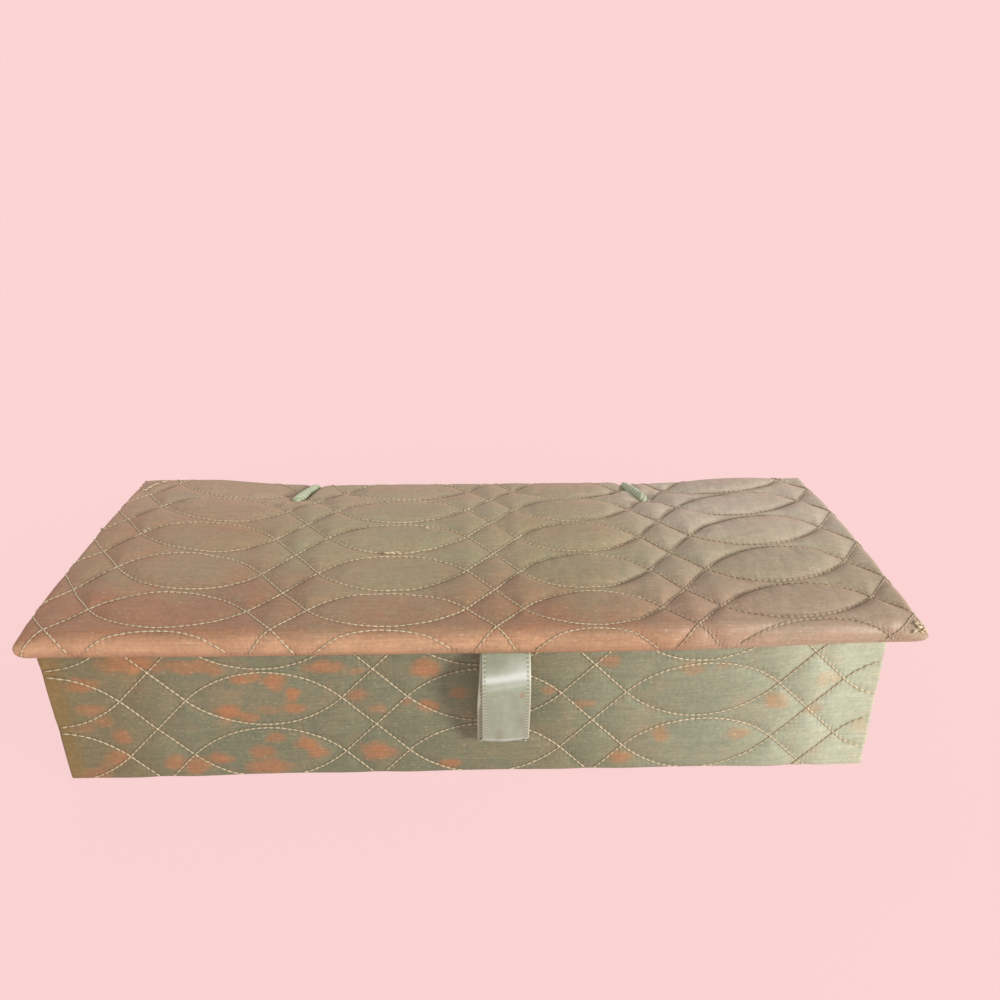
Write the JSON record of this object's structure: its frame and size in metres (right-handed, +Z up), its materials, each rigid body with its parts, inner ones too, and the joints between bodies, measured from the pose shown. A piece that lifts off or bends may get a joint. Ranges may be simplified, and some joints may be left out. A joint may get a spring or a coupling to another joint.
{
  "type": "glove box",
  "caption": "Long quilted fabric glove box with a padded overhanging lid on cord-loop hinges and a ribbon pull tab",
  "frame": {"origin": "middle of the underside, on the surface that the box stands on", "axes": "+X along the box to the right seen from the front, +Y to the back where the cord hinges are, +Z up"},
  "size_m": [0.3199, 0.1398, 0.0729],
  "materials": {
    "quilted_taffeta": "shot taffeta in sage and rust, machine quilted in cream thread over thin wadding, with a soft sheen",
    "satin_lining": "smooth silver-sage satin",
    "satin_ribbon": "silver-sage satin ribbon with cream stitched edges",
    "twisted_cord": "pale green twisted rayon cord",
    "wadding": "soft cotton wadding",
    "board": "grey-brown pulp board",
    "stay_paper": "thin tan paper",
    "base_paper": "matt sage paper with a fine grain"
  },
  "bodies": {
    "box": {"base_cover": "base_paper", "base_board": "board", "front_board": "board", "back_board": "board", "left_board": "board", "right_board": "board", "corner_stays": "stay_paper", "body_quilt": "quilted_taffeta", "front_lining": "satin_lining", "back_lining": "satin_lining", "left_lining": "satin_lining", "right_lining": "satin_lining", "base_pad": "satin_lining", "left_cord_loop": "twisted_cord", "right_cord_loop": "twisted_cord"},
    "lid": {"lid_board": "board", "lid_wadding": "wadding", "lid_quilt": "quilted_taffeta", "lid_lining_card": "board", "lid_lining": "satin_lining", "ribbon_tail": "satin_ribbon"},
    "tab": {"pull_tab": "satin_ribbon"}
  },
  "joints": [
    {"name": "lid_hinge", "type": "hinge", "parent": "box", "child": "lid", "pos_m": [0.0013, 0.0605, 0.06065], "axis": [-1, 0, 0], "range_deg": [0, 95], "deforming": ["left_cord_loop", "right_cord_loop"]},
    {"name": "tab_lift", "type": "hinge", "parent": "lid", "child": "tab", "pos_m": [0.0137, -0.0664, 0.0604], "axis": [-1, 0, 0], "range_deg": [0, 90]}
  ]
}
